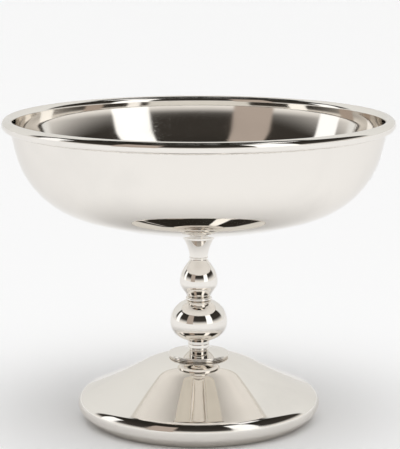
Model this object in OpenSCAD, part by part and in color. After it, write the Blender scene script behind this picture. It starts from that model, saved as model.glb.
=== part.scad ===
// Footed dessert dish: a spun bowl and a spun foot, clamped to a stack of turned stem pieces by one stud.
// Millimetres. The dish stands on z = 0 and +Z is its axis of revolution.

/* [Bowl] */
// Outer diameter of the rolled rim
rim_d = 120; // [108:1:140]
// Sheet thickness of the bowl
bowl_wall = 0.8; // [0.5:0.1:1.2]
// Diameter of the flat struck into the underside for the stem
bowl_seat_d = 12.4; // [11.8:0.1:16]
// Lean of the bottom where it runs into the corner, in degrees from level
bottom_lean = 17.9; // [14:0.1:24]
// Outer radius of the corner between bottom and wall
corner_r = 26.7; // [20:0.1:32]
// Lean of the wall where the corner ends
wall_lean = 74.4; // [68:0.1:77]
// Outer radius of the wall's long curve
wall_r = 78.5; // [60:0.5:110]
// Lean of the wall where it starts to straighten under the rim
neck_lean = 78.5; // [77.5:0.1:84]
// Outer radius of the straightening curve under the rim
neck_r = 20; // [10:1:36]

/* [Rolled rim] */
// Radius of the hollow inside the curl
curl_hole_r = 0.95; // [0.7:0.05:1.4]
// Open seam between the curl's cut edge and the wall
curl_seam = 0.2; // [0.1:0.05:0.4]

/* [Stem flare] */
// Overall height of the trumpet with its flange and seat disc
flare_h = 8.25; // [7:0.05:14]
// Diameter of the trumpet at its lower end
flare_neck_d = 5.5; // [5:0.1:7]
// Radius of the trumpet's hollow curve
flare_r = 15.2; // [8:0.1:40]
// Diameter of the flange above the trumpet
flange_d = 9.8; // [8.4:0.1:11]
// Height of the flange
flange_h = 0.9; // [0.6:0.05:1.6]
// Diameter of the disc that seats on the bowl
seat_disc_d = 9.2; // [8.4:0.1:11.6]
// Height of the disc that seats on the bowl
seat_disc_h = 1.75; // [1.1:0.05:2]
// Radius that breaks the edges of the flange and the disc
flange_edge_r = 0.25; // [0.15:0.05:0.5]

/* [Upper knop] */
// Overall height, ring included
upper_knop_h = 12.65; // [10:0.05:18]
// Largest diameter
upper_knop_d = 11.7; // [9:0.1:16]
// Height of the largest diameter above the piece's lower end
upper_knop_mid = 4.8; // [3.5:0.1:6]
// Radius of the turn below the largest diameter
upper_knop_low_r = 3.3; // [2:0.1:8]
// Radius of the swell above the largest diameter
upper_knop_high_r = 8; // [5:0.1:16]
// Diameter of the lower end
upper_knop_foot_d = 6.6; // [5.4:0.1:7.4]
// Diameter of the upper end, under the ring
upper_knop_neck_d = 5.3; // [5:0.1:7]
// Radius of the hollow between that end and the swell
upper_knop_cove_r = 1.2; // [0.4:0.1:1.6]
// Diameter of the ring at the upper end
neck_ring_d = 5.8; // [5.4:0.1:7.4]
// Height of the ring at the upper end
neck_ring_h = 0.45; // [0.3:0.05:1]

/* [Beads] */
// Diameter of the bead between the knops
middle_bead_d = 8.2; // [7.4:0.1:10]
// Height of the bead between the knops
middle_bead_h = 1; // [0.6:0.1:2]
// Diameter of the ring under the lower knop
lower_bead_d = 6.6; // [6:0.1:8]
// Height of the ring under the lower knop
lower_bead_h = 1.25; // [0.6:0.05:2]
// Radius that breaks that ring's edges
lower_bead_edge_r = 0.25; // [0.1:0.05:0.25]

/* [Lower knop] */
// Overall height, lower neck included
lower_knop_h = 13.9; // [12:0.05:22]
// Largest diameter
lower_knop_d = 17.7; // [14:0.1:26]
// Height of the largest diameter above the piece's lower end
lower_knop_mid = 7.1; // [6:0.05:9]
// Radius of the turn below the largest diameter
lower_knop_low_r = 5.6; // [3:0.1:9]
// Radius of the swell above the largest diameter
lower_knop_high_r = 6.9; // [4:0.1:9]
// Diameter of the upper end
lower_knop_top_d = 7; // [6:0.1:8]
// Diameter of the short neck at the lower end
lower_neck_d = 6.7; // [6:0.1:8]
// Height of the short neck at the lower end
lower_neck_h = 1; // [0.6:0.05:2]

/* [Base collar] */
// Overall height
collar_h = 2.8; // [2:0.1:5]
// Largest diameter, at the rounded edge
collar_d = 19; // [15:0.1:22]
// Height of the rounded edge
collar_edge_h = 1.2; // [0.8:0.1:1.8]
// Diameter of the neck
collar_neck_d = 6.2; // [5.6:0.1:8]
// Radius of the hollow between neck and disc
collar_fillet_r = 0.5; // [0.3:0.1:1]

/* [Foot] */
// Largest diameter
foot_d = 75.3; // [66:0.1:90]
// Sheet thickness of the foot
foot_wall = 0.8; // [0.5:0.1:1.2]
// Inside radius of the bend where the band turns in to the lip
hem_bend_r = 0.4; // [0.2:0.1:1.5]
// Lean of the band at that bend, in degrees from upright
hem_lean = 55.4; // [50:0.1:70]
// Outer radius of the band under the shoulder
band_r = 19; // [8:0.5:30]
// Lean of the band where it leaves the shoulder
band_lean = 43; // [25:0.5:48]
// Outer radius of the shoulder
shoulder_r = 3.5; // [2.2:0.1:4.6]
// Slope of the flank at the shoulder, in degrees from level
flank_low_slope = 22.8; // [18:0.1:25]
// Slope of the flank at its upper end
flank_high_slope = 29.1; // [27:0.1:34]
// Outer radius of the dome above the flank
dome_r = 23; // [10:0.5:28]
// Slope of the dome at the edge of the flat top
dome_end_slope = 4.5; // [2:0.5:12]
// How far the flat top reaches past the collar's edge bead
seat_margin = 0.3; // [0.2:0.1:2]
// Width of the lip turned in under the foot
lip_w = 3; // [1.5:0.1:6]

/* [Stud and nut] */
// Outer diameter of the stud's thread
stud_d = 3; // [2.5:0.1:3.4]
// Clearance around the stud in the stem pieces, the foot and the washers
stud_clearance = 0.15; // [0.1:0.05:0.25]
// Clearance of the nut on the thread
thread_clearance = 0.05; // [0.02:0.01:0.1]
// Diameter of the stud's weld flange
weld_flange_d = 5; // [4.4:0.1:5.6]
// Height of the stud's weld flange
weld_flange_h = 0.8; // [0.5:0.1:0.9]
// Thread that stands out past the nut
stud_tip = 1.5; // [0.8:0.1:4]
// Chamfer at the end of the stud
stud_chamfer = 0.4; // [0.2:0.05:0.6]
// Diameter of the plain washer
clamp_washer_d = 12; // [8:0.5:16]
// Thickness of the plain washer
clamp_washer_h = 0.8; // [0.5:0.1:1.5]
// Diameter of the split washer
lock_washer_d = 6.2; // [5.4:0.1:8]
// Thickness of the split washer
lock_washer_h = 0.7; // [0.5:0.1:1.2]
// Width of the split
lock_gap = 0.6; // [0.4:0.1:1]
// Width of the nut across its flats
nut_flats = 5.5; // [5:0.1:7]
// Height of the nut
nut_h = 2.4; // [1.8:0.1:3.5]

/* [Hidden] */
// Largest distance between a curve and its chords
chord_error = 0.01;
// Largest share of its reach that a knop's turn may take, so that a straight run is left
knop_straight = 0.99;
$fn = 96;

sheet_color = "#d9d6d1";
turned_color = "#c4beb6";
hardware_color = "#b3b1ad";

// Unit vector at angle a
function dir(a) = [cos(a), sin(a)];

// Last item and reversed copy of a list
function last(list) = list[len(list) - 1];
function reversed(list) = [for (i = [len(list) - 1:-1:0]) list[i]];

// Points on an arc about c; a negative radius puts the curve on the other side of c
function arc(c, r, a0, a1, first = 0) =
    let (n = max(1, ceil(abs(a1 - a0) / (2 * acos(1 - chord_error / abs(r))))))
    [for (i = [first:n]) c + r * dir(a0 + (a1 - a0) * i / n)];

// Chain of tangent arcs: legs holds a radius and an end angle each, c is the first centre
function run(c, a0, legs, inset = 0, i = 0) =
    i == len(legs) ? [] :
    let (r = legs[i][0], a1 = legs[i][1], r_next = i + 1 < len(legs) ? legs[i + 1][0] : r)
    concat(
        arc(c, r - inset, a0, a1, min(i, 1)),
        run(c + (r - r_next) * dir(a1), a1, legs, inset, i + 1)
    );

// Centre of an arc of radius r that leads from p to q, on the left of that way
function arc_center(p, q, r) =
    let (d = q - p, half = norm(d) / 2)
    (p + q) / 2 + sqrt(r * r - half * half) / (2 * half) * [-d[1], d[0]];

// Angle on the circle about c at which a line from p touches it
function touch_angle(c, r, p, side) =
    let (d = p - c)
    atan2(d[1], d[0]) + side * acos(r / norm(d));

// Radius of the arc that leaves a line upright and meets a round cove centred that far in and that far along
function reach_radius(inward, along, cove = 0) =
    (inward * inward + along * along - cove * cove) / (2 * (inward + cove));

// Half-round edge of height h that reaches radius r and starts at level z
function bead(r, z, h) = arc([r - h / 2, z + h / 2], h / 2, -90, 90);

// Edge of height h with broken corners, from its lower corner's end up
function disc_edge(r, z, h, edge) = concat(
    arc([r - edge, z + edge], edge, -90, 0, 1),
    arc([r - edge, z + h - edge], edge, 0, 90)
);

// Side of a knop: two turns that meet upright at its largest radius and run straight to both ends;
// with a cove, the upper run ends in a hollow that turns upright at the neck
function knop_side(low, high, r, z, low_turn, high_turn, cove = 0) =
    let (
        cove_c = high + [cove, 0],
        low_r = min(low_turn, reach_radius(r - low[0], z - low[1]) * knop_straight),
        high_r = min(high_turn, reach_radius(r - cove_c[0], high[1] - z, cove) * knop_straight),
        low_c = [r - low_r, z],
        high_c = [r - high_r, z],
        high_a = touch_angle(high_c, high_r + cove, cove_c, -1)
    )
    concat(
        [low],
        arc(low_c, low_r, touch_angle(low_c, low_r, low, 1), 0),
        arc(high_c, high_r, 0, high_a, 1),
        cove > 0 ? arc(cove_c, -cove, high_a, 0) : [high]
    );

// Bores
bore_r = stud_d / 2 + stud_clearance;
nut_bore_r = stud_d / 2 + thread_clearance;

// Foot
foot_seat_r = collar_d / 2 - collar_edge_h / 2 + seat_margin;
shoulder_a = 90 - flank_low_slope;
flank_a = 90 - flank_high_slope;
dome_a = 90 - dome_end_slope;
shoulder_end_r = foot_d / 2 - shoulder_r + shoulder_r * cos(shoulder_a);
dome_reach = dome_r * (cos(flank_a) - cos(dome_a));
flank_r = (shoulder_end_r - dome_reach - foot_seat_r) / (cos(flank_a) - cos(shoulder_a));
hem_r = hem_bend_r + foot_wall;
rest_r = foot_d / 2 - shoulder_r
    - (band_r - shoulder_r) * cos(band_lean)
    + (band_r - hem_r) * cos(hem_lean);
foot_legs = [
    [hem_r, -hem_lean],
    [band_r, -band_lean],
    [shoulder_r, shoulder_a],
    [-flank_r, flank_a],
    [dome_r, dome_a]
];
foot_outside = run([rest_r, hem_r], -90, foot_legs);
foot_inside = run([rest_r, hem_r], -90, foot_legs, foot_wall);
foot_h = last(foot_outside)[1];
clamp_z = last(foot_inside)[1];

// Levels of the clamped stack, from the foot up
collar_z = foot_h;
lower_bead_z = collar_z + collar_h;
lower_knop_z = lower_bead_z + lower_bead_h;
middle_bead_z = lower_knop_z + lower_knop_h;
upper_knop_z = middle_bead_z + middle_bead_h;
flare_z = upper_knop_z + upper_knop_h;
bowl_z = flare_z + flare_h;

// Levels of the fastening under the foot, from the sheet down
lock_washer_z = clamp_z - clamp_washer_h - lock_washer_h;
nut_z = lock_washer_z - nut_h;
stud_end_z = nut_z - stud_tip;

// Bowl: the bottom's radius is the one that brings the chain of arcs out to the rim
curl_r = curl_hole_r + bowl_wall;
curl_c_r = rim_d / 2 - curl_r;
corner_reach = corner_r * (sin(wall_lean) - sin(bottom_lean));
wall_reach = wall_r * (sin(neck_lean) - sin(wall_lean));
neck_reach = neck_r * (1 - sin(neck_lean));
bottom_r = (curl_c_r - curl_hole_r - corner_reach - wall_reach - neck_reach) / sin(bottom_lean);
curl_end = -180 - acos(-(curl_hole_r - curl_seam) / curl_r);
bowl_legs = [
    [bottom_r, bottom_lean - 90],
    [corner_r, wall_lean - 90],
    [wall_r, neck_lean - 90],
    [neck_r, 0],
    [-curl_hole_r, curl_end]
];
bowl_seat_a = asin(bowl_seat_d / 2 / bottom_r) - 90;
bowl_c = [0, bowl_z - bottom_r * sin(bowl_seat_a)];

// Spun bowl: one sheet, rolled outward at the rim until its cut edge nearly meets the wall
module bowl() {
    color(sheet_color)
    rotate_extrude()
    polygon(concat(
        [[0, bowl_z]],
        run(bowl_c, bowl_seat_a, bowl_legs),
        reversed(run(bowl_c, -90, bowl_legs, bowl_wall))
    ));
}

// Stud with a weld flange on the bowl's flat and a chamfered end under the foot
module bowl_stud() {
    color(hardware_color)
    rotate_extrude()
    polygon([
        [0, stud_end_z],
        [stud_d / 2 - stud_chamfer, stud_end_z],
        [stud_d / 2, stud_end_z + stud_chamfer],
        [stud_d / 2, bowl_z - weld_flange_h],
        [weld_flange_d / 2, bowl_z - weld_flange_h],
        [weld_flange_d / 2, bowl_z],
        [0, bowl_z]
    ]);
}

// Trumpet under the bowl, recessed on top for the weld flange
module stem_flare() {
    disc_z = bowl_z - seat_disc_h;
    flange_z = disc_z - flange_h;
    neck = [flare_neck_d / 2, flare_z];
    mouth = [flange_d / 2 - flange_edge_r, flange_z];
    hollow_c = arc_center(mouth, neck, flare_r);
    hollow_a0 = atan2(neck[1] - hollow_c[1], neck[0] - hollow_c[0]);
    hollow_a1 = atan2(mouth[1] - hollow_c[1], mouth[0] - hollow_c[0]);
    recess_r = weld_flange_d / 2 + stud_clearance;
    recess_z = bowl_z - weld_flange_h - stud_clearance;
    color(turned_color)
    rotate_extrude()
    polygon(concat(
        [[bore_r, flare_z]],
        arc(hollow_c, flare_r, hollow_a0, hollow_a1),
        disc_edge(flange_d / 2, flange_z, flange_h, flange_edge_r),
        [[seat_disc_d / 2, disc_z]],
        arc([seat_disc_d / 2 - flange_edge_r, bowl_z - flange_edge_r], flange_edge_r, 0, 90),
        [[recess_r, bowl_z], [recess_r, recess_z], [bore_r, recess_z]]
    ));
}

// Pear-shaped knop with a small ring turned at its neck
module upper_knop() {
    ring_z = flare_z - neck_ring_h;
    color(turned_color)
    rotate_extrude()
    polygon(concat(
        [[bore_r, upper_knop_z]],
        knop_side(
            [upper_knop_foot_d / 2, upper_knop_z], [upper_knop_neck_d / 2, ring_z],
            upper_knop_d / 2, upper_knop_z + upper_knop_mid, upper_knop_low_r, upper_knop_high_r,
            upper_knop_cove_r
        ),
        bead(neck_ring_d / 2, ring_z, neck_ring_h),
        [[bore_r, flare_z]]
    ));
}

// Ring between two levels, with the given edge
module turned_ring(z, h, edge) {
    color(turned_color)
    rotate_extrude()
    polygon(concat([[bore_r, z]], edge, [[bore_r, z + h]]));
}

// Half-round bead between the knops
module middle_bead()
    turned_ring(middle_bead_z, middle_bead_h, bead(middle_bead_d / 2, middle_bead_z, middle_bead_h));

// Upright ring under the lower knop
module lower_bead()
    turned_ring(
        lower_bead_z, lower_bead_h,
        concat(
            [[lower_bead_d / 2 - lower_bead_edge_r, lower_bead_z]],
            disc_edge(lower_bead_d / 2, lower_bead_z, lower_bead_h, lower_bead_edge_r)
        )
    );

// Large round knop on a short neck
module lower_knop() {
    neck_top_z = lower_knop_z + lower_neck_h;
    color(turned_color)
    rotate_extrude()
    polygon(concat(
        [[bore_r, lower_knop_z], [lower_neck_d / 2, lower_knop_z]],
        knop_side(
            [lower_neck_d / 2, neck_top_z], [lower_knop_top_d / 2, middle_bead_z],
            lower_knop_d / 2, lower_knop_z + lower_knop_mid, lower_knop_low_r, lower_knop_high_r
        ),
        [[bore_r, middle_bead_z]]
    ));
}

// Flared collar: a disc with a rounded edge that sweeps up into the neck
module base_collar() {
    neck_r = collar_neck_d / 2;
    hollow_c = [neck_r + collar_fillet_r, lower_bead_z];
    edge = bead(collar_d / 2, collar_z, collar_edge_h);
    hollow_a = touch_angle(hollow_c, collar_fillet_r, last(edge), -1);
    color(turned_color)
    rotate_extrude()
    polygon(concat(
        [[bore_r, collar_z]],
        edge,
        arc(hollow_c, collar_fillet_r, hollow_a, -180),
        [[bore_r, lower_bead_z]]
    ));
}

// Spun foot: flat top, hollow flank, round shoulder, undercut band and a lip that rests on the table
module foot() {
    color(sheet_color)
    rotate_extrude()
    polygon(concat(
        [[rest_r - lip_w, 0]],
        foot_outside,
        [[bore_r, foot_h], [bore_r, clamp_z]],
        reversed(foot_inside),
        [[rest_r - lip_w, foot_wall]]
    ));
}

// Flat ring with its upper face at level z
module washer(d, z, h) {
    rotate_extrude()
    polygon([[bore_r, z - h], [d / 2, z - h], [d / 2, z], [bore_r, z]]);
}

module clamp_washer() {
    color(hardware_color)
    washer(clamp_washer_d, clamp_z, clamp_washer_h);
}

// Split washer, cut through on a slant
module lock_washer() {
    split_slant = 20;
    color(hardware_color)
    difference() {
        washer(lock_washer_d, clamp_z - clamp_washer_h, lock_washer_h);
        translate([lock_washer_d / 2, 0, lock_washer_z + lock_washer_h / 2])
        rotate([split_slant, 0, 0])
        cube([lock_washer_d, lock_gap, 3 * lock_washer_h], center = true);
    }
}

// Hexagon nut with both ends chamfered to the width across its flats
module clamp_nut() {
    chamfer_slope = 30;
    corner_d = nut_flats / cos(30);
    chamfer_h = (corner_d - nut_flats) / 2 * tan(chamfer_slope);
    top_z = nut_z + nut_h;
    color(hardware_color)
    intersection() {
        translate([0, 0, nut_z])
        linear_extrude(nut_h)
        difference() {
            circle(d = corner_d, $fn = 6);
            circle(r = nut_bore_r);
        }
        rotate_extrude()
        polygon([
            [0, nut_z],
            [nut_flats / 2, nut_z],
            [corner_d / 2, nut_z + chamfer_h],
            [corner_d / 2, top_z - chamfer_h],
            [nut_flats / 2, top_z],
            [0, top_z]
        ]);
    }
}

bowl();
bowl_stud();
stem_flare();
upper_knop();
middle_bead();
lower_knop();
lower_bead();
base_collar();
foot();
clamp_washer();
lock_washer();
clamp_nut();
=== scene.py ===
import math

import bpy
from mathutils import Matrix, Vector


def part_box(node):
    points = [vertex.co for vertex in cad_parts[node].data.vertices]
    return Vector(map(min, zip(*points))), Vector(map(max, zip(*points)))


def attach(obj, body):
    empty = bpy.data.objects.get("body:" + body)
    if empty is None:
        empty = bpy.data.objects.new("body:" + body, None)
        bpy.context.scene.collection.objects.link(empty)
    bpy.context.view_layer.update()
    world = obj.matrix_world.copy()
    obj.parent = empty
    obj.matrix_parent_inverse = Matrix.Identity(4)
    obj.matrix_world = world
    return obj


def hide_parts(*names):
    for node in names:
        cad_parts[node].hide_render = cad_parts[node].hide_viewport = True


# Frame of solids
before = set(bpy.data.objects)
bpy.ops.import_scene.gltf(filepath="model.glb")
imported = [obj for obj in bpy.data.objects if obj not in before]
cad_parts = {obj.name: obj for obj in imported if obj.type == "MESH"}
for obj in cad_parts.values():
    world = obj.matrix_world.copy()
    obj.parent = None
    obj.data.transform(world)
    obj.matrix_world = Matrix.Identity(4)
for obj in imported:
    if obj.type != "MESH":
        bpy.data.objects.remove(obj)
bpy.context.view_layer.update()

# Sizes below are in millimetres, as on the solids; meshes are made in metres
MM = 0.001

# Bowl
RIM_R = 60
BOWL_WALL = 0.8
BOWL_SEAT_R = 6.2
BOTTOM_LEAN = 17.9
CORNER_R = 26.7
WALL_LEAN = 74.4
WALL_R = 78.5
NECK_LEAN = 78.5
NECK_R = 20
CURL_HOLE_R = 0.95
CURL_SEAM = 0.2

# Stem
FLARE_NECK_R = 2.75
FLARE_R = 15.2
FLANGE_R = 4.9
FLANGE_H = 0.9
FLANGE_EDGE_R = 0.25
SEAT_DISC_R = 4.6
SEAT_DISC_H = 1.75
UPPER_KNOP_R = 5.85
UPPER_KNOP_MID = 4.8
UPPER_KNOP_LOW_R = 3.3
UPPER_KNOP_HIGH_R = 8
UPPER_KNOP_FOOT_R = 3.3
UPPER_KNOP_NECK_R = 2.65
UPPER_KNOP_COVE_R = 1.2
NECK_RING_R = 2.9
NECK_RING_H = 0.45
MIDDLE_BEAD_R = 4.1
LOWER_BEAD_R = 3.3
LOWER_BEAD_EDGE_R = 0.25
LOWER_KNOP_R = 8.85
LOWER_KNOP_MID = 7.1
LOWER_KNOP_LOW_R = 5.6
LOWER_KNOP_HIGH_R = 6.9
LOWER_KNOP_TOP_R = 3.5
LOWER_NECK_R = 3.35
LOWER_NECK_H = 1
COLLAR_R = 9.5
COLLAR_EDGE_H = 1.2
COLLAR_LOW_BEAD_R = 9.0
COLLAR_HIGH_BEAD_R = 9.42
COLLAR_NECK_R = 3.1
COLLAR_FILLET_R = 0.5

# Foot
FOOT_R = 37.65
FOOT_WALL = 0.8
HEM_R = 1.2
HEM_LEAN = 55.4
BAND_R = 19
BAND_LEAN = 43
SHOULDER_R = 3.5
FLANK_LOW_SLOPE = 22.8
FLANK_HIGH_SLOPE = 29.1
DOME_R = 23
DOME_END_SLOPE = 4.5
SEAT_MARGIN = 0.3
LIP_W = 3

# Stud, washers and nut
STUD_R = 1.5
BORE_R = 1.65
WELD_FLANGE_R = 2.5
WELD_FLANGE_H = 0.8
STUD_CHAMFER = 0.4
THREAD_PITCH = 0.5
THREAD_DEPTH = 0.27
THREAD_FLANK = 2.4
THREAD_ROOT = 0.1
THREAD_ROWS = 8
WASHER_EDGE_R = 0.15
SPLIT_GAP = 0.6
SPLIT_SLANT = 20
NUT_FLAT_R = 2.75
NUT_BORE_R = 1.55
NUT_CHAMFER_SLOPE = 30

# Broken edges of the turned pieces, and the rounding of the sheet's cut edges
EDGE_R = 0.12
CUT_EDGE_R = 0.2

# Fineness of the meshes: steps round the axis, the longest and widest step along an arc, and the steps
# across a broken corner
TURNS = 288
SHEET_TURNS = 384
SMALL_TURNS = 144
SPLIT_TURNS = 120
STUD_TURNS = 96
ARC_STEP_MM = 0.5
ARC_STEP_DEG = 4
CORNER_STEPS = 4
SHARP_DEG = 35
ON_AXIS = 1e-6


def level(node):
    """Lowest and highest level of a node, in millimetres."""
    low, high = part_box(node)
    return low.z / MM, high.z / MM


def point(r, z):
    """Place on an outline: distance from the axis, and level."""
    return Vector((r, z))


def toward(angle):
    """Unit vector at an angle in degrees."""
    return Vector((math.cos(math.radians(angle)), math.sin(math.radians(angle))))


def arc(center, radius, start, end, first=0):
    """Points along an arc; a negative radius puts the curve on the other side of its centre."""
    sweep = abs(end - start)
    length = math.radians(sweep) * abs(radius)
    steps = max(2, math.ceil(sweep / ARC_STEP_DEG), math.ceil(length / ARC_STEP_MM))
    return [center + radius * toward(start + (end - start) * i / steps) for i in range(first, steps + 1)]


def chain(center, start, legs, inset=0):
    """Points along tangent arcs; each leg is a radius and the angle at which it ends."""
    points = []
    for (radius, end), (next_radius, _) in zip(legs, legs[1:] + legs[-1:]):
        points += arc(center, radius - inset, start, end, min(len(points), 1))
        center = center + (radius - next_radius) * toward(end)
        start = end
    return points


def arc_center(p, q, radius):
    """Centre of an arc from p to q, on the left of that way."""
    way = q - p
    half = way.length / 2
    return (p + q) / 2 + math.sqrt(radius ** 2 - half ** 2) / (2 * half) * Vector((-way.y, way.x))


def angle_of(vector):
    """Angle of a vector in degrees."""
    return math.degrees(math.atan2(vector.y, vector.x))


def touch_angle(center, radius, p, side):
    """Angle on a circle at which a line from p touches it."""
    way = p - center
    return angle_of(way) + side * math.degrees(math.acos(radius / way.length))


def bead(radius, z, height):
    """Half-round edge from level z up, reaching out to the radius."""
    half = height / 2
    return arc(point(radius - half, z + half), half, -90, 90)


def disc_edge(radius, low, high, edge=EDGE_R):
    """Upright edge between two levels, with both corners broken."""
    lower = arc(point(radius - edge, low + edge), edge, -90, 0)
    upper = arc(point(radius - edge, high - edge), edge, 0, 90)
    return lower + upper


def knop_side(low, high, radius, z, low_r, high_r, cove=0):
    """Side of a knop: two turns that meet upright at the largest radius and run straight to both ends.

    With a cove, the upper run ends in a hollow that turns upright at the neck.
    """
    low_center = point(radius - low_r, z)
    high_center = point(radius - high_r, z)
    cove_center = high + point(cove, 0)
    high_angle = touch_angle(high_center, high_r + cove, cove_center, -1)
    return (
        [low]
        + arc(low_center, low_r, touch_angle(low_center, low_r, low, 1), 0)
        + arc(high_center, high_r, 0, high_angle, 1)
        + (arc(cove_center, -cove, high_angle, 0) if cove else [high])
    )


def break_corners(outline, corners, edge=EDGE_R):
    """Replaces the listed corners of a closed outline by small curves."""
    points = []
    count = len(outline)
    for i, p in enumerate(outline):
        if i % count not in [c % count for c in corners]:
            points.append(p)
            continue
        back = (outline[i - 1] - p).normalized()
        ahead = (outline[(i + 1) % count] - p).normalized()
        start = p + back * edge
        end = p + ahead * edge
        for step in range(CORNER_STEPS + 1):
            t = step / CORNER_STEPS
            points.append((1 - t) ** 2 * start + 2 * t * (1 - t) * p + t ** 2 * end)
    return points


def revolve(name, outline, turns=TURNS, span=360, warp=None):
    """Closed body made by turning an outline round the axis; warp moves a point by its angle."""
    whole = span >= 360
    columns = turns if whole else turns + 1
    verts = []
    index = []
    for p in outline:
        if p.x < ON_AXIS:
            verts.append((0, 0, p.y * MM))
            index.append([len(verts) - 1] * columns)
            continue
        row = []
        for j in range(columns):
            angle = math.radians((360 - span) / 2 + span * j / turns)
            r, z, a = warp(p.x, p.y, angle) if warp else (p.x, p.y, angle)
            verts.append((r * math.cos(a) * MM, r * math.sin(a) * MM, z * MM))
            row.append(len(verts) - 1)
        index.append(row)
    faces = []
    for i, row in enumerate(index):
        next_row = index[(i + 1) % len(index)]
        for j in range(turns):
            k = (j + 1) % columns
            ring = [row[j], row[k], next_row[k], next_row[j]]
            corners = [v for n, v in enumerate(ring) if v not in ring[:n]]
            if len(corners) > 2:
                faces.append(corners)
    if not whole:
        faces.append([row[0] for row in index])
        faces.append([row[-1] for row in reversed(index)])
    mesh = bpy.data.meshes.new(name)
    mesh.from_pydata(verts, [], faces)
    mesh.validate()
    mesh.shade_smooth()
    mesh.set_sharp_from_angle(angle=math.radians(SHARP_DEG))
    piece = bpy.data.objects.new(name, mesh)
    bpy.context.scene.collection.objects.link(piece)
    return piece


def stand_for(piece, node, material):
    """Puts a piece in the place of a node, with its finish."""
    piece.data.materials.append(material)
    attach(piece, "root")
    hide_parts(node)


# Outlines, each run counter-clockwise round its half section


def bowl_outline():
    """Spun bowl: one sheet, rolled outward at the rim until its cut edge nearly meets the wall."""
    bowl_z, _ = level("bowl")
    curl_r = CURL_HOLE_R + BOWL_WALL

    def reach(radius, low, high):
        return radius * (math.sin(math.radians(high)) - math.sin(math.radians(low)))

    wall_reach = reach(CORNER_R, BOTTOM_LEAN, WALL_LEAN) + reach(WALL_R, WALL_LEAN, NECK_LEAN)
    neck_reach = reach(NECK_R, NECK_LEAN, 90)
    bottom_reach = RIM_R - curl_r - CURL_HOLE_R - wall_reach - neck_reach
    bottom_r = bottom_reach / math.sin(math.radians(BOTTOM_LEAN))
    curl_end = -180 - math.degrees(math.acos(-(CURL_HOLE_R - CURL_SEAM) / curl_r))
    legs = [
        (bottom_r, BOTTOM_LEAN - 90),
        (CORNER_R, WALL_LEAN - 90),
        (WALL_R, NECK_LEAN - 90),
        (NECK_R, 0),
        (-CURL_HOLE_R, curl_end),
    ]
    seat_angle = math.degrees(math.asin(BOWL_SEAT_R / bottom_r)) - 90
    center = point(0, bowl_z - bottom_r * math.sin(math.radians(seat_angle)))
    outside = chain(center, seat_angle, legs)
    inside = chain(center, -90, legs, BOWL_WALL)
    outline = [point(0, bowl_z)] + outside + inside[::-1]
    cut = len(outside)
    return break_corners(outline, [cut, cut + 1], CUT_EDGE_R)


def flare_outline():
    """Trumpet with a flange and a seat disc, recessed on top for the weld flange."""
    low, high = level("stem_flare")
    disc_z = high - SEAT_DISC_H
    flange_z = disc_z - FLANGE_H
    neck = point(FLARE_NECK_R, low)
    mouth = point(FLANGE_R - FLANGE_EDGE_R, flange_z)
    center = arc_center(mouth, neck, FLARE_R)
    hollow = arc(center, FLARE_R, angle_of(neck - center), angle_of(mouth - center))
    recess_r = WELD_FLANGE_R + BORE_R - STUD_R
    recess_z = high - WELD_FLANGE_H - BORE_R + STUD_R
    return (
        [point(BORE_R, low)]
        + hollow
        + disc_edge(FLANGE_R, flange_z, disc_z, FLANGE_EDGE_R)[1:]
        + [point(SEAT_DISC_R, disc_z)]
        + arc(point(SEAT_DISC_R - FLANGE_EDGE_R, high - FLANGE_EDGE_R), FLANGE_EDGE_R, 0, 90)
        + [point(recess_r, high), point(recess_r, recess_z), point(BORE_R, recess_z)]
    )


def upper_knop_outline():
    """Pear-shaped knop with a small ring turned at its neck."""
    low, high = level("upper_knop")
    ring_z = high - NECK_RING_H
    side = knop_side(
        point(UPPER_KNOP_FOOT_R, low), point(UPPER_KNOP_NECK_R, ring_z),
        UPPER_KNOP_R, low + UPPER_KNOP_MID, UPPER_KNOP_LOW_R, UPPER_KNOP_HIGH_R, UPPER_KNOP_COVE_R,
    )
    outline = [point(BORE_R, low)] + side + bead(NECK_RING_R, ring_z, NECK_RING_H) + [point(BORE_R, high)]
    return break_corners(outline, [1])


def lower_knop_outline():
    """Large round knop on a short neck."""
    low, high = level("lower_knop")
    side = knop_side(
        point(LOWER_NECK_R, low + LOWER_NECK_H), point(LOWER_KNOP_TOP_R, high),
        LOWER_KNOP_R, low + LOWER_KNOP_MID, LOWER_KNOP_LOW_R, LOWER_KNOP_HIGH_R,
    )
    outline = [point(BORE_R, low), point(LOWER_NECK_R, low)] + side + [point(BORE_R, high)]
    return break_corners(outline, [1, 2, len(outline) - 2])


def middle_bead_outline():
    """Bead with a half-round edge."""
    low, high = level("middle_bead")
    return [point(BORE_R, low)] + bead(MIDDLE_BEAD_R, low, high - low) + [point(BORE_R, high)]


def lower_bead_outline():
    """Ring with an upright face."""
    low, high = level("lower_bead")
    edge = disc_edge(LOWER_BEAD_R, low, high, LOWER_BEAD_EDGE_R)
    return [point(BORE_R, low)] + edge + [point(BORE_R, high)]


def collar_outline():
    """Flared collar: a disc with two beads turned on its rounded edge, sweeping up into the neck."""
    low, high = level("base_collar")
    bead_h = COLLAR_EDGE_H / 2
    edge = bead(COLLAR_LOW_BEAD_R, low, bead_h) + bead(COLLAR_HIGH_BEAD_R, low + bead_h, bead_h)
    center = point(COLLAR_NECK_R + COLLAR_FILLET_R, high)
    touch = touch_angle(center, COLLAR_FILLET_R, edge[-1], -1)
    hollow = arc(center, COLLAR_FILLET_R, touch, -180)
    outline = [point(BORE_R, low)] + edge + hollow + [point(BORE_R, high)]
    return break_corners(outline, [len(outline) - 2])


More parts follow.
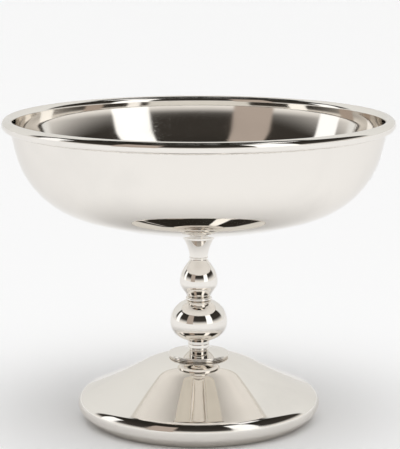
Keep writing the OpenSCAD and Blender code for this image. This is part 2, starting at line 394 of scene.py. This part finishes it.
def foot_outline():
    """Spun foot: flat top, hollow flank, round shoulder, undercut band and the lip it rests on."""
    seat_r = COLLAR_R - COLLAR_EDGE_H / 2 + SEAT_MARGIN
    shoulder_a = 90 - FLANK_LOW_SLOPE
    flank_a = 90 - FLANK_HIGH_SLOPE
    dome_a = 90 - DOME_END_SLOPE
    dome_reach = DOME_R * (toward(flank_a).x - toward(dome_a).x)
    shoulder_end_r = FOOT_R - SHOULDER_R + SHOULDER_R * toward(shoulder_a).x
    flank_r = (shoulder_end_r - dome_reach - seat_r) / (toward(flank_a).x - toward(shoulder_a).x)
    rest_r = (
        FOOT_R - SHOULDER_R
        - (BAND_R - SHOULDER_R) * toward(BAND_LEAN).x
        + (BAND_R - HEM_R) * toward(HEM_LEAN).x
    )
    legs = [
        (HEM_R, -HEM_LEAN),
        (BAND_R, -BAND_LEAN),
        (SHOULDER_R, shoulder_a),
        (-flank_r, flank_a),
        (DOME_R, dome_a),
    ]
    center = point(rest_r, HEM_R)
    outside = chain(center, -90, legs)
    inside = chain(center, -90, legs, FOOT_WALL)
    top = [point(BORE_R, outside[-1].y), point(BORE_R, inside[-1].y)]
    lip_r = rest_r - LIP_W
    outline = [point(lip_r, 0)] + outside + top + inside[::-1] + [point(lip_r, FOOT_WALL)]
    return break_corners(outline, [0, len(outline) - 1], CUT_EDGE_R)


def stud_outline():
    """Stud with a weld flange; the rows of its lower end are close, for the thread."""
    low, high = level("bowl_stud")
    thread_top = level("clamp_washer")[1]
    thread_low = low + STUD_CHAMFER
    rows = math.ceil((thread_top - low - STUD_CHAMFER) / THREAD_PITCH * THREAD_ROWS)
    thread = [point(STUD_R, thread_low + (thread_top - thread_low) * i / rows) for i in range(rows + 1)]
    flange_z = high - WELD_FLANGE_H
    return (
        [point(0, low), point(STUD_R - STUD_CHAMFER, low)]
        + thread
        + [point(STUD_R, flange_z)]
        + disc_edge(WELD_FLANGE_R, flange_z, high)
        + [point(0, high)]
    )


def thread_warp():
    """Cuts a thread into the stud's lower end."""
    low = level("bowl_stud")[0] + STUD_CHAMFER / 2
    high = level("clamp_washer")[1]

    def warp(r, z, angle):
        if not (r > STUD_R - EDGE_R / 2 and r < STUD_R + EDGE_R / 2 and low < z < high):
            return r, z, angle
        phase = (z / THREAD_PITCH - angle / math.tau) % 1
        ridge = min(1, max(0, THREAD_FLANK * abs(phase - 0.5) - THREAD_ROOT))
        return STUD_R - THREAD_DEPTH * (1 - ridge), z, angle

    return warp


def washer_outline(node):
    """Flat washer with its punched edges rounded."""
    low, high = level(node)
    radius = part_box(node)[1].y / MM
    outline = [point(BORE_R, low), point(radius, low), point(radius, high), point(BORE_R, high)]
    return break_corners(outline, range(4), WASHER_EDGE_R)


def split_warp():
    """Slants the split of the lock washer."""
    low, high = level("lock_washer")
    slope = math.tan(math.radians(SPLIT_SLANT))

    def warp(r, z, angle):
        return r, z, angle + (z - (low + high) / 2) * slope / r

    return warp


def nut_outline():
    """Section of the nut across its flats; the warp takes it out to the corners."""
    low, high = level("clamp_nut")
    bore_edge = THREAD_DEPTH
    return [
        point(NUT_BORE_R, low + bore_edge), point(NUT_BORE_R + bore_edge, low),
        point(NUT_FLAT_R, low), point(NUT_FLAT_R + EDGE_R, low + EDGE_R),
        point(NUT_FLAT_R + EDGE_R, high - EDGE_R), point(NUT_FLAT_R, high),
        point(NUT_BORE_R + bore_edge, high), point(NUT_BORE_R, high - bore_edge),
    ]


def nut_warp():
    """Makes the nut's side a hexagon that the chamfers cut in curves."""
    low, high = level("clamp_nut")
    slope = math.tan(math.radians(NUT_CHAMFER_SLOPE))

    def warp(r, z, angle):
        if r <= NUT_FLAT_R:
            return r, z, angle
        off = (angle + math.pi / 6) % (math.pi / 3) - math.pi / 6
        side = NUT_FLAT_R / math.cos(off + math.pi / 6 if off < 0 else off - math.pi / 6)
        drop = (side - NUT_FLAT_R) * slope
        return side, (low + drop if z < (low + high) / 2 else high - drop), angle

    return warp


# Pieces

bowl = revolve("spun_bowl", bowl_outline(), SHEET_TURNS)
stud = revolve("threaded_stud", stud_outline(), STUD_TURNS, warp=thread_warp())
flare = revolve("turned_flare", flare_outline())
upper_knop = revolve("turned_upper_knop", upper_knop_outline())
middle_bead = revolve("turned_middle_bead", middle_bead_outline())
lower_knop = revolve("turned_lower_knop", lower_knop_outline())
lower_bead = revolve("turned_lower_bead", lower_bead_outline())
collar = revolve("turned_collar", collar_outline())
foot = revolve("spun_foot", foot_outline(), SHEET_TURNS)
washer = revolve("plain_washer", washer_outline("clamp_washer"), SMALL_TURNS)
split_span = 360 - math.degrees(SPLIT_GAP / ((BORE_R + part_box("lock_washer")[1].y / MM) / 2))
split_washer = revolve("split_washer", washer_outline("lock_washer"), SPLIT_TURNS, split_span, split_warp())
nut = revolve("hexagon_nut", nut_outline(), SMALL_TURNS, warp=nut_warp())


# Shader nodes


def add(tree, kind, inputs=None, **settings):
    """New node; its inputs are links where they are sockets, and constants where they are not."""
    node = tree.nodes.new(kind)
    for key, value in settings.items():
        setattr(node, key, value)
    for key, value in (inputs or {}).items():
        if isinstance(value, bpy.types.NodeSocket):
            tree.links.new(value, node.inputs[key])
        else:
            node.inputs[key].default_value = value
    return node


def calc(tree, operation, *values):
    """Result of a math node."""
    return add(tree, "ShaderNodeMath", dict(enumerate(values)), operation=operation).outputs[0]


def ramp(tree, value, low, high, to_low=0, to_high=1):
    """Smooth step of a value from one level to another."""
    inputs = {"Value": value, "From Min": low, "From Max": high, "To Min": to_low, "To Max": to_high}
    return add(tree, "ShaderNodeMapRange", inputs, interpolation_type="SMOOTHSTEP").outputs["Result"]


def mix(tree, factor, a, b):
    """Colour between two others."""
    inputs = {"Factor": factor, "A": a, "B": b}
    return add(tree, "ShaderNodeMix", inputs, data_type="RGBA").outputs["Result"]


def noise(tree, place, size, detail=2, distortion=0):
    """Noise whose features are about that many metres wide."""
    inputs = {"Vector": place, "Scale": 1 / size, "Detail": detail, "Distortion": distortion}
    return add(tree, "ShaderNodeTexNoise", inputs).outputs["Fac"]


# Steel: widths of its features in metres, the values of noise between which they set in, and what they add
# to the roughness or take from the colour
DENT_WIDTH = 0.022
SMUDGE_WIDTH = 0.03
SMUDGE_RANGE = (0.42, 0.68)
SMUDGE_TWIST = 0.6
STAIN = 0.95
HAIR_WIDTH = 0.005
HAIR_TWIST = 2.5
HAIR_LINE = 0.012
HAIR_RANGE = (0.5, 0.62)
HAIR_ROUGHNESS = 0.12
WEAR_RANGE = (0.35, 0.65)
WEAR_ROUGHNESS = 0.14
# Seam mark: dark grime along a seam, and also painted shade where the seam's crease is shaded
GRIME_AND_SHADE_WIDTH = 0.0016
GRIME_AND_SHADE_RANGE = (0.38, 0.6)
SEAM_GRIME_AND_SHADE = (0.3, 0.26, 0.22)
GRIME_ROUGHNESS = 0.3
INNER_RANGE = (0.04, -0.04)
EDGE_TINT = (0.9, 0.89, 0.88)


def steel(name, color, roughness, haze, inside, marks, waves, worn, anisotropy, seam=None):
    """Steel that was spun or turned about the axis, polished and then used.

    haze is the roughness that handling adds, and inside what faces towards the axis have more. marks and
    waves are the width and depth, in metres, of the tool's rings and of the broad unevenness. worn lists
    radius or level with the values at which wear starts and is complete. seam is the radius, level and reach
    of a dark mark along a seam: grime, and also painted shade where the seam's crease is shaded.
    """
    material = bpy.data.materials.new(name)
    material.use_nodes = True
    tree = material.node_tree
    shader = tree.nodes["Principled BSDF"]
    place = add(tree, "ShaderNodeTexCoord").outputs["Object"]
    x, y, z = add(tree, "ShaderNodeSeparateXYZ", {0: place}).outputs
    flat = add(tree, "ShaderNodeCombineXYZ", {"X": x, "Y": y}).outputs[0]
    radius = add(tree, "ShaderNodeVectorMath", {0: flat}, operation="LENGTH").outputs["Value"]
    section = add(tree, "ShaderNodeCombineXYZ", {"X": radius, "Y": z}).outputs[0]
    outward = add(tree, "ShaderNodeVectorMath", {0: flat}, operation="NORMALIZE").outputs[0]
    normal = add(tree, "ShaderNodeNewGeometry").outputs["Normal"]
    facing = add(tree, "ShaderNodeVectorMath", {0: outward, 1: normal}, operation="DOT_PRODUCT")
    inner = ramp(tree, facing.outputs["Value"], *INNER_RANGE)

    mark_width, mark_depth = marks
    wave_width, wave_depth = waves
    rings = noise(tree, section, mark_width, 3)
    broad = calc(tree, "ADD", noise(tree, section, wave_width, 0), noise(tree, place, DENT_WIDTH, 0))
    smudges = ramp(tree, noise(tree, place, SMUDGE_WIDTH, 4, SMUDGE_TWIST), *SMUDGE_RANGE)
    twists = noise(tree, place, HAIR_WIDTH, 1, HAIR_TWIST)
    hairs = calc(tree, "ABSOLUTE", calc(tree, "SUBTRACT", twists, 0.5))
    patches = ramp(tree, noise(tree, place, SMUDGE_WIDTH, 1), *HAIR_RANGE)
    hairs = calc(tree, "MULTIPLY", ramp(tree, hairs, HAIR_LINE, 0), patches)
    places = {"radius": radius, "level": z}
    wear = 0
    for where, begins, complete in worn:
        wear = calc(tree, "MAXIMUM", ramp(tree, places[where], begins, complete), wear)
    wear = calc(tree, "MULTIPLY", wear, ramp(tree, noise(tree, place, HAIR_WIDTH, 3), *WEAR_RANGE))

    dull = calc(tree, "MULTIPLY_ADD", smudges, haze, roughness)
    dull = calc(tree, "MULTIPLY_ADD", calc(tree, "SUBTRACT", rings, 0.5), haze, dull)
    dull = calc(tree, "MULTIPLY_ADD", hairs, HAIR_ROUGHNESS, dull)
    dull = calc(tree, "MULTIPLY_ADD", wear, WEAR_ROUGHNESS, dull)
    dull = calc(tree, "MULTIPLY_ADD", inner, inside, dull)
    tint = mix(tree, smudges, (*color, 1), (*(c * STAIN for c in color), 1))
    # Dark seam mark, broken up by specks: grime, and also painted shade in the shaded crease of the seam
    if seam:
        seam_radius, seam_level, seam_reach = seam
        corner = (seam_radius, seam_level, 0)
        away = add(tree, "ShaderNodeVectorMath", {0: section, 1: corner}, operation="DISTANCE")
        specks = ramp(tree, noise(tree, place, GRIME_AND_SHADE_WIDTH, 3), *GRIME_AND_SHADE_RANGE)
        seam_grime_and_shade = calc(tree, "MULTIPLY", ramp(tree, away.outputs["Value"], seam_reach, 0), specks)
        tint = mix(tree, seam_grime_and_shade, tint, (*SEAM_GRIME_AND_SHADE, 1))
        dull = calc(tree, "MULTIPLY_ADD", seam_grime_and_shade, GRIME_ROUGHNESS, dull)
    tree.links.new(dull, shader.inputs["Roughness"])
    tree.links.new(tint, shader.inputs["Base Color"])

    uneven = add(tree, "ShaderNodeBump", {"Height": broad, "Distance": wave_depth}).outputs[0]
    ringed = add(tree, "ShaderNodeBump", {"Height": rings, "Distance": mark_depth, "Normal": uneven})
    tree.links.new(ringed.outputs[0], shader.inputs["Normal"])
    turned = add(tree, "ShaderNodeTangent", direction_type="RADIAL", axis="Z")
    tree.links.new(turned.outputs[0], shader.inputs["Tangent"])
    shader.inputs["Anisotropic"].default_value = anisotropy
    shader.inputs["Metallic"].default_value = 1
    shader.inputs["Specular Tint"].default_value = (*EDGE_TINT, 1)
    return material


# Finishes
POLISHED = (0.885, 0.852, 0.805)
MACHINED = (0.6, 0.595, 0.58)
bowl_steel = steel(
    "polished_bowl_steel", POLISHED, roughness=0.03, haze=0.035, inside=0.03,
    marks=(0.00035, 3e-7), waves=(0.009, 5e-6), worn=[("level", 0.0936, 0.0946)],
    # seam: dark line under the rolled rim, partly grime and partly painted shade where the curl shades the
    # wall
    anisotropy=0.3, seam=(0.05735, 0.0913, 0.0006),
)
foot_steel = steel(
    "polished_foot_steel", POLISHED, roughness=0.03, haze=0.035, inside=0.22,
    marks=(0.00035, 3e-7), waves=(0.009, 4e-6), worn=[("level", 0.0008, 0), ("radius", 0.0371, 0.0376)],
    anisotropy=0.3,
)
turned_steel = steel(
    "polished_turned_steel", POLISHED, roughness=0.035, haze=0.03, inside=0,
    marks=(0.0003, 3e-7), waves=(0.004, 1e-6), worn=[("radius", 0.0086, 0.0092)],
    anisotropy=0.4,
)
collar_steel = steel(
    "polished_collar_steel", POLISHED, roughness=0.02, haze=0.015, inside=0,
    marks=(0.0003, 1e-7), waves=(0.004, 5e-7), worn=[],
    # seam: dark line in the groove between the two beads, partly grime and partly painted shade in the
    # groove
    anisotropy=0.2, seam=(0.009, 0.02018, 0.00028),
)
plain_steel = steel(
    "machined_steel", MACHINED, roughness=0.26, haze=0.12, inside=0,
    marks=(0.00025, 4e-6), waves=(0.004, 2e-6), worn=[("radius", 0.0025, 0.0032)],
    anisotropy=0.5,
)

stand_for(bowl, "bowl", bowl_steel)
stand_for(stud, "bowl_stud", plain_steel)
stand_for(flare, "stem_flare", turned_steel)
stand_for(upper_knop, "upper_knop", turned_steel)
stand_for(middle_bead, "middle_bead", turned_steel)
stand_for(lower_knop, "lower_knop", turned_steel)
stand_for(lower_bead, "lower_bead", turned_steel)
stand_for(collar, "base_collar", collar_steel)
stand_for(foot, "foot", foot_steel)
stand_for(washer, "clamp_washer", plain_steel)
stand_for(split_washer, "lock_washer", plain_steel)
stand_for(nut, "clamp_nut", plain_steel)

# Camera, as fitted to the outline in the photograph, for a frame of 400 by 449
CAMERA_LENS = 145.3
CAMERA_SENSOR = 36
CAMERA_PLACE = (0.0004, -0.5499, 0.1612)
CAMERA_DOWN = 10.31

camera_data = bpy.data.cameras.new("camera")
camera_data.lens = CAMERA_LENS
camera_data.sensor_width = CAMERA_SENSOR
camera = bpy.data.objects.new("camera", camera_data)
camera.location = CAMERA_PLACE
camera.rotation_euler = (math.radians(90 - CAMERA_DOWN), 0, 0)
bpy.context.scene.collection.objects.link(camera)
bpy.context.scene.camera = camera
bpy.context.scene.view_settings.view_transform = "Standard"

# Floor: plain and pale, just below the rest ring
FLOOR_SIZE = 20
FLOOR_DROP = 0.00002
FLOOR_COLOR = (0.97, 0.97, 0.97)
FLOOR_ROUGHNESS = 0.85

floor_signs = [(-1, -1), (1, -1), (1, 1), (-1, 1)]
floor_corners = [(FLOOR_SIZE * x, FLOOR_SIZE * y, -FLOOR_DROP) for x, y in floor_signs]
floor_mesh = bpy.data.meshes.new("floor")
floor_mesh.from_pydata(floor_corners, [], [(0, 1, 2, 3)])
floor = bpy.data.objects.new("floor", floor_mesh)
bpy.context.scene.collection.objects.link(floor)
floor_material = bpy.data.materials.new("pale_floor")
floor_material.use_nodes = True
floor_shader = floor_material.node_tree.nodes["Principled BSDF"]
floor_shader.inputs["Base Color"].default_value = (*FLOOR_COLOR, 1)
floor_shader.inputs["Roughness"].default_value = FLOOR_ROUGHNESS
floor_mesh.materials.append(floor_material)

# World: a broad soft key from above and, for the eye and the mirrors alike, a pale studio with dark upper
# walls; angles are in degrees
SIDE_LIGHT = 0.33
KEY_LIGHT = 3.4
KEY_POWER = 8
KEY_AZIMUTH = 12
KEY_ELEVATION = 82
ROOM_LOW = (0.04, 0.035, 0.03)
ROOM_HIGH = (0.022, 0.02, 0.016)
ROOM_SPLIT = (25, 55)
# Each window: azimuths from and to, seen from the dish with 0 at the camera, elevations from and to,
# softness of its edges, and its colour
WINDOWS = {
    "low_wall": (-180, 180, -20, 10, 18, (0.93, 0.9, 0.86)),
    "backdrop": (114, 246, -20, 56, 6, (0.85, 0.85, 0.83)),
    "main_window": (33, 59, 0, 57, 2, (1.3, 1.3, 1.28)),
    "curtain": (-50, -23, 0, 46, 3, (0.46, 0.39, 0.34)),
    "side_window": (-103, -86, 0, 36, 2, (1.2, 1.2, 1.2)),
    "skylight": (62, 104, 58, 70, 3, (1.1, 1.1, 1.1)),
}


def world_shader():
    """Builds the world's nodes."""
    world = bpy.data.worlds.new("studio")
    world.use_nodes = True
    tree = world.node_tree
    tree.nodes.clear()
    direction = add(tree, "ShaderNodeTexCoord").outputs["Generated"]
    x, y, z = add(tree, "ShaderNodeSeparateXYZ", {0: direction}).outputs
    elevation = calc(tree, "DEGREES", calc(tree, "ARCSINE", z))
    azimuth = calc(tree, "DEGREES", calc(tree, "ARCTAN2", x, calc(tree, "MULTIPLY", y, -1)))
    around = calc(tree, "WRAP", azimuth, 360, 0)

    def band(value, low, high, soft):
        rise = ramp(tree, value, low - soft / 2, low + soft / 2)
        fall = ramp(tree, value, high - soft / 2, high + soft / 2)
        return calc(tree, "SUBTRACT", rise, fall)

    color = mix(tree, ramp(tree, elevation, *ROOM_SPLIT), (*ROOM_LOW, 1), (*ROOM_HIGH, 1))
    for west, east, low, high, soft, tint in WINDOWS.values():
        mask = band(elevation, low, high, soft)
        if east - west < 360:
            mask = calc(tree, "MULTIPLY", mask, band(around if east > 180 else azimuth, west, east, soft))
        color = mix(tree, mask, color, (*tint, 1))

    level_part, key_z = toward(KEY_ELEVATION)
    key_x, key_y = level_part * toward(KEY_AZIMUTH - 90)
    key_way = (key_x, key_y, key_z)
    near_key = add(tree, "ShaderNodeVectorMath", {0: direction, 1: key_way}, operation="DOT_PRODUCT")
    key = calc(tree, "POWER", calc(tree, "MAXIMUM", near_key.outputs["Value"], 0), KEY_POWER)
    strength = calc(tree, "MULTIPLY_ADD", key, KEY_LIGHT, SIDE_LIGHT)
    rays = add(tree, "ShaderNodeLightPath").outputs
    soft_light = add(tree, "ShaderNodeBackground", {"Color": (1, 1, 1, 1), "Strength": strength}).outputs[0]
    studio = add(tree, "ShaderNodeBackground", {"Color": color}).outputs[0]
    seen = calc(tree, "MAXIMUM", rays["Is Camera Ray"], rays["Is Glossy Ray"])
    seen = calc(tree, "MAXIMUM", seen, rays["Is Transmission Ray"])
    view = add(tree, "ShaderNodeMixShader", {0: seen, 1: soft_light, 2: studio}).outputs[0]
    add(tree, "ShaderNodeOutputWorld", {"Surface": view})
    return world


bpy.context.scene.world = world_shader()
